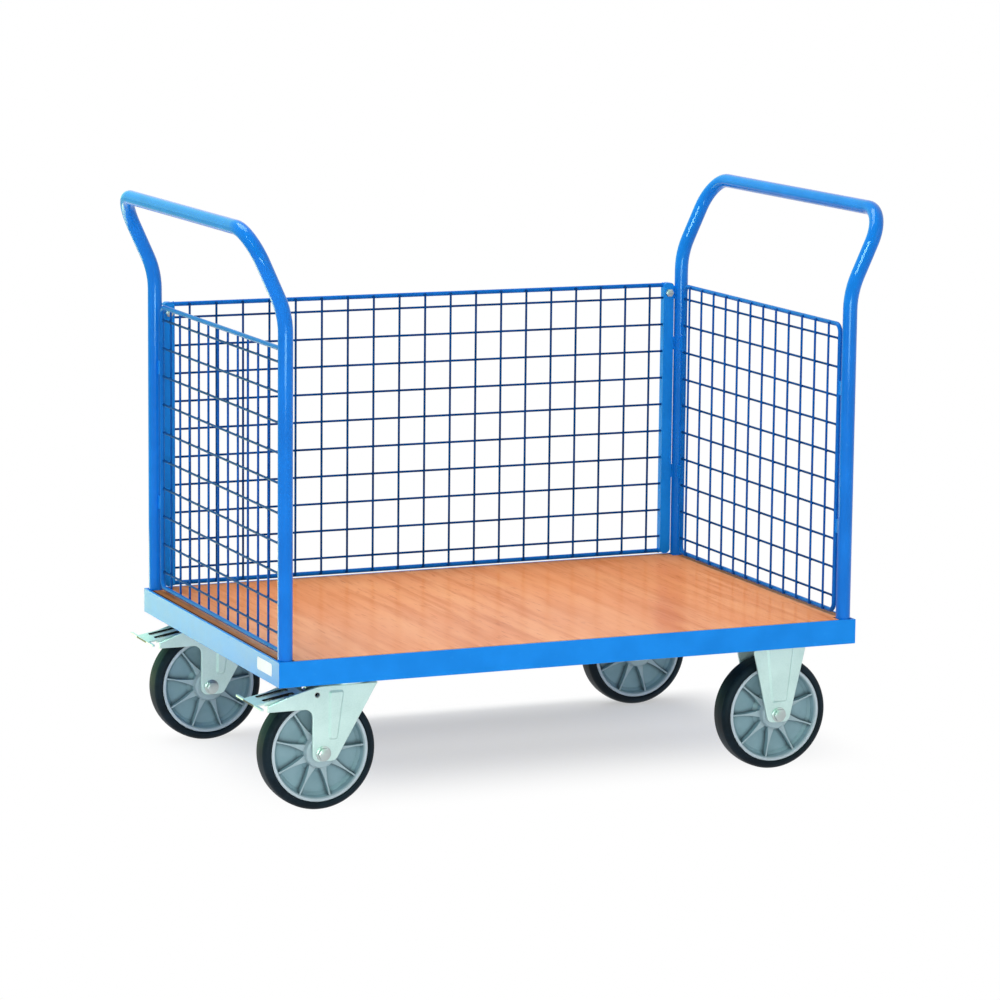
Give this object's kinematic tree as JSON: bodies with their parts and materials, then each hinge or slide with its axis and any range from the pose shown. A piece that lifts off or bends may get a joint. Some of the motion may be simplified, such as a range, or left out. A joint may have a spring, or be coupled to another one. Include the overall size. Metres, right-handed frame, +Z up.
{
  "type": "mesh-sided platform trolley",
  "caption": "Flat hand trolley with a wood deck in a steel frame, wire mesh on both ends and the back, a tube push handle at each end, and swivel brake castors with fixed castors.",
  "frame": {"origin": "on the floor under the middle of the platform", "axes": "+X towards the end with the fixed castors, +Y towards the back wall, +Z up"},
  "size_m": [1.18, 0.698, 0.9845],
  "materials": {
    "blue_paint": "gloss powder coat",
    "beech_board": "matt beech decor",
    "zinc_plate": "zinc plated, pressed",
    "bright_steel": "bright zinc",
    "tyre_rubber": "smooth dark rubber",
    "grey_rim": "moulded grey plastic"
  },
  "bodies": {
    "platform": {"back_left_castor_plate": "zinc_plate", "back_rail": "blue_paint", "back_right_fork": "zinc_plate", "back_wall_bolts": "bright_steel", "back_wall_channels": "blue_paint", "back_wall_cross_wires": "blue_paint", "back_wall_frame": "blue_paint", "back_wall_nuts": "bright_steel", "back_wall_uprights": "blue_paint", "castor_bolts": "bright_steel", "castor_nuts": "bright_steel", "centre_cross_member": "blue_paint", "deck_board": "beech_board", "fixed_axle_bolts": "bright_steel", "fixed_axle_nuts": "bright_steel", "fixed_axle_tubes": "bright_steel", "front_left_castor_plate": "zinc_plate", "front_rail": "blue_paint", "front_right_fork": "zinc_plate", "kingpins": "bright_steel", "left_castor_bearer": "blue_paint", "left_handle_bow": "blue_paint", "left_rail": "blue_paint", "left_wall_cross_wires": "blue_paint", "left_wall_frame": "blue_paint", "left_wall_uprights": "blue_paint", "right_castor_bearer": "blue_paint", "right_handle_bow": "blue_paint", "right_rail": "blue_paint", "right_wall_cross_wires": "blue_paint", "right_wall_frame": "blue_paint", "right_wall_uprights": "blue_paint", "wall_tabs": "blue_paint"},
    "front_left_castor": {"front_left_fork": "zinc_plate", "front_left_axle_bolt": "bright_steel", "front_left_axle_nut": "bright_steel", "front_left_axle_tube": "bright_steel", "front_left_balls": "bright_steel", "front_left_pedal_pins": "bright_steel"},
    "back_left_castor": {"back_left_fork": "zinc_plate", "back_left_axle_bolt": "bright_steel", "back_left_axle_nut": "bright_steel", "back_left_axle_tube": "bright_steel", "back_left_balls": "bright_steel", "back_left_pedal_pins": "bright_steel"},
    "front_left_wheel": {"front_left_tyre": "tyre_rubber", "front_left_rim": "grey_rim", "front_left_bearing": "bright_steel"},
    "back_left_wheel": {"back_left_tyre": "tyre_rubber", "back_left_rim": "grey_rim", "back_left_bearing": "bright_steel"},
    "front_right_wheel": {"front_right_tyre": "tyre_rubber", "front_right_rim": "grey_rim", "front_right_bearing": "bright_steel"},
    "back_right_wheel": {"back_right_tyre": "tyre_rubber", "back_right_rim": "grey_rim", "back_right_bearing": "bright_steel"},
    "front_left_brake": {"front_left_pedal": "zinc_plate"},
    "back_left_brake": {"back_left_pedal": "zinc_plate"}
  },
  "joints": [
    {"name": "front_left_swivel", "type": "hinge", "parent": "platform", "child": "front_left_castor", "pos_m": [-0.391, -0.28, 0.214], "axis": [0, 0, 1], "continuous": true},
    {"name": "back_left_swivel", "type": "hinge", "parent": "platform", "child": "back_left_castor", "pos_m": [-0.391, 0.28, 0.214], "axis": [0, 0, 1], "continuous": true},
    {"name": "front_left_wheel_spin", "type": "hinge", "parent": "front_left_castor", "child": "front_left_wheel", "pos_m": [-0.441, -0.28, 0.1], "axis": [0, 1, 0], "continuous": true},
    {"name": "back_left_wheel_spin", "type": "hinge", "parent": "back_left_castor", "child": "back_left_wheel", "pos_m": [-0.441, 0.28, 0.1], "axis": [0, 1, 0], "continuous": true},
    {"name": "front_right_wheel_spin", "type": "hinge", "parent": "platform", "child": "front_right_wheel", "pos_m": [0.402, -0.28, 0.1], "axis": [0, 1, 0], "continuous": true},
    {"name": "back_right_wheel_spin", "type": "hinge", "parent": "platform", "child": "back_right_wheel", "pos_m": [0.402, 0.28, 0.1], "axis": [0, 1, 0], "continuous": true},
    {"name": "front_left_brake_press", "type": "hinge", "parent": "front_left_castor", "child": "front_left_brake", "pos_m": [-0.452, -0.28, 0.1997], "axis": [0, -1, 0], "range_deg": [0, 10]},
    {"name": "back_left_brake_press", "type": "hinge", "parent": "back_left_castor", "child": "back_left_brake", "pos_m": [-0.452, 0.28, 0.1997], "axis": [0, -1, 0], "range_deg": [0, 10]}
  ]
}
